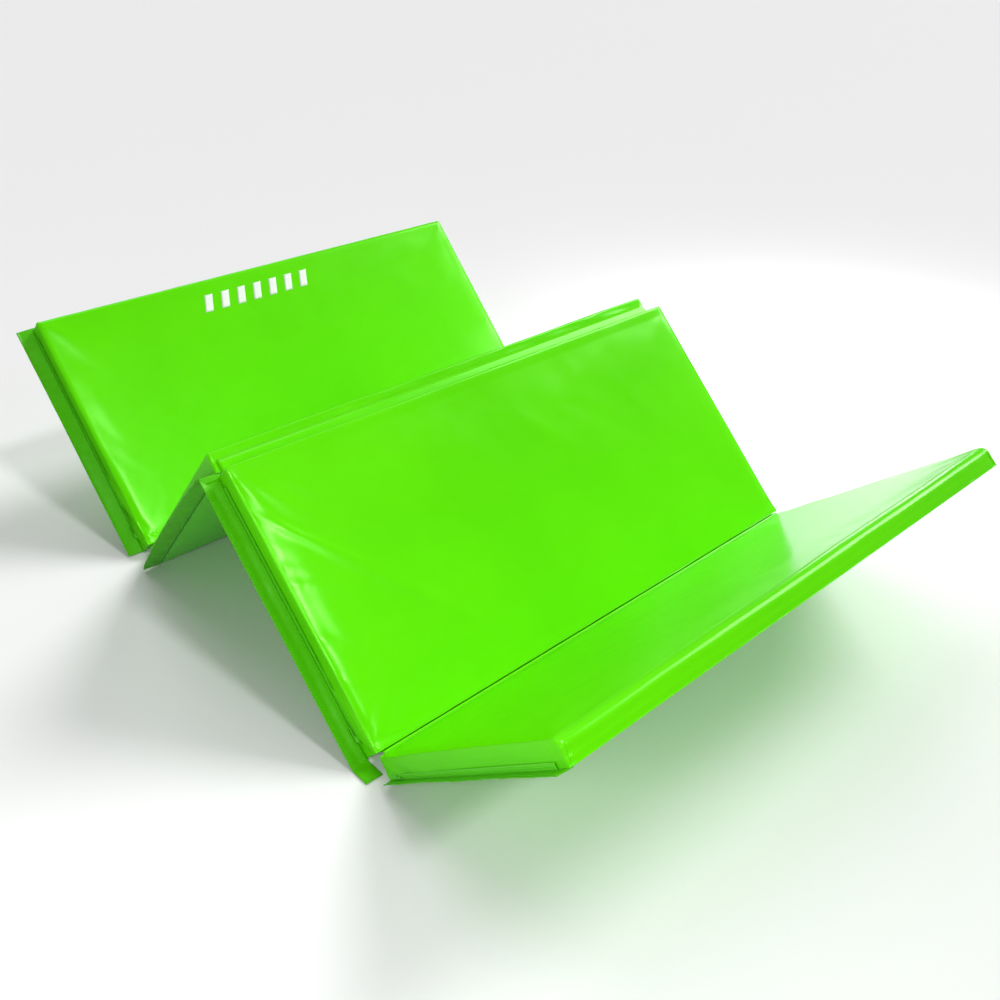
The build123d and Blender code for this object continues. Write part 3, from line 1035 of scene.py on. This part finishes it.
lime_vinyl = vinyl("lime_vinyl", LIME, LIME_DARK, 0.20)
# Painted shade: the flaps and the bridge between them are the cover's vinyl, given a darker lime in place of
# the shadow that falls on them beside the walls.
flap_vinyl_painted_shade = vinyl("flap_vinyl_painted_shade", FLAP_PAINTED_SHADE_LIME, FLAP_PAINTED_SHADE_DARK, 0.34)
foam_material = woven("cream_foam", CREAM, 900)
zip_cloth = woven("green_zip_tape", ZIP_LIME, 1500, roughness=0.62)
thread_material = woven("lime_thread", THREAD_LIME, 2500)
slider_paint = painted("green_slider_paint", SLIDER_GREEN)
print_ink = printed("white_ink")

panels = {number: Panel(number) for number in (1, 2, 3, 4)}
for panel in panels.values():
    cover = make_cover(panel, lime_vinyl)
    tree = surface_tree(cover, panel)
    make_foam(panel, foam_material)
    make_flap(panel, flap_vinyl_painted_shade)
    make_stitches(panel, tree, thread_material)
    make_zip(panel, zip_cloth)
    make_slider(panel, slider_paint)
    if panel.number == 1:
        make_print(panel, tree, print_ink)
make_flap_bridge(flap_vinyl_painted_shade)
make_fold_strip("fold_12", 2, 1, True, lime_vinyl)
make_fold_strip("fold_23", 3, 2, False, lime_vinyl)
make_fold_strip("fold_34", 3, 4, True, lime_vinyl)


# ---------------------------------------------------------------- stage

def make_floor():
    """Plain pale floor."""
    points = [(FLOOR_REACH * x, FLOOR_REACH * y, 0) for x, y in ((-1, -1), (1, -1), (1, 1), (-1, 1))]
    material, _, shader = blank("pale_floor")
    shader.inputs["Base Color"].default_value = FLOOR_GREY
    shader.inputs["Roughness"].default_value = 0.9
    floor = new_mesh("floor", points, [(0, 1, 2, 3)], material, smooth=False)
    floor.location.z = -0.0005


def make_sun(name, towards, spread, strength):
    """Even soft light from that direction; spread is its apparent width in degrees."""
    data = bpy.data.lights.new(name, "SUN")
    data.energy, data.angle = strength, radians(spread)
    in_scene(name, data).rotation_euler = Vector(towards).to_track_quat("Z", "Y").to_euler()


def make_soft_box(name, place, target, size, power):
    """A square soft box that faces its target."""
    data = bpy.data.lights.new(name, "AREA")
    data.shape = "SQUARE"
    data.size, data.energy = size, power
    light = in_scene(name, data)
    light.location = place
    light.rotation_euler = (Vector(target) - Vector(place)).to_track_quat("-Z", "Y").to_euler()
    light.visible_camera = False


def make_lights():
    """The suns, the soft boxes and a pale surround, which is seen brighter than it lights."""
    for sun in SUNS:
        make_sun(*sun)
    for box in SOFT_BOXES:
        make_soft_box(*box)
    world = bpy.data.worlds.new("surround")
    bpy.context.scene.world = world
    world.use_nodes = True
    tree = world.node_tree
    background = tree.nodes["Background"]
    background.inputs["Color"].default_value = (1, 1, 1, 1)
    strength = node(tree, "MapRange", To_Min=SURROUND_LIGHT, To_Max=SURROUND_SEEN)
    chain(tree, node(tree, "LightPath"), "Is Camera Ray", "Value", strength, "Result", "Strength", background)


def make_camera():
    """The camera: above the raised front panel's left corner, with a slight roll."""
    data = bpy.data.cameras.new("camera")
    camera = in_scene("camera", data)
    az, el = CAMERA_AZIMUTH, CAMERA_ELEVATION
    forward = Vector((-sin(az) * cos(el), cos(az) * cos(el), -sin(el)))
    turn = forward.to_track_quat("-Z", "Y").to_matrix() @ Matrix.Rotation(CAMERA_ROLL, 3, "Z")
    camera.matrix_world = Matrix.Translation(CAMERA_PLACE) @ turn.to_4x4()
    data.lens = CAMERA_LENS
    data.sensor_width = 36
    data.shift_x, data.shift_y = CAMERA_SHIFT
    bpy.context.scene.camera = camera


make_floor()
make_lights()
make_camera()
bpy.context.scene.view_settings.view_transform = "Standard"
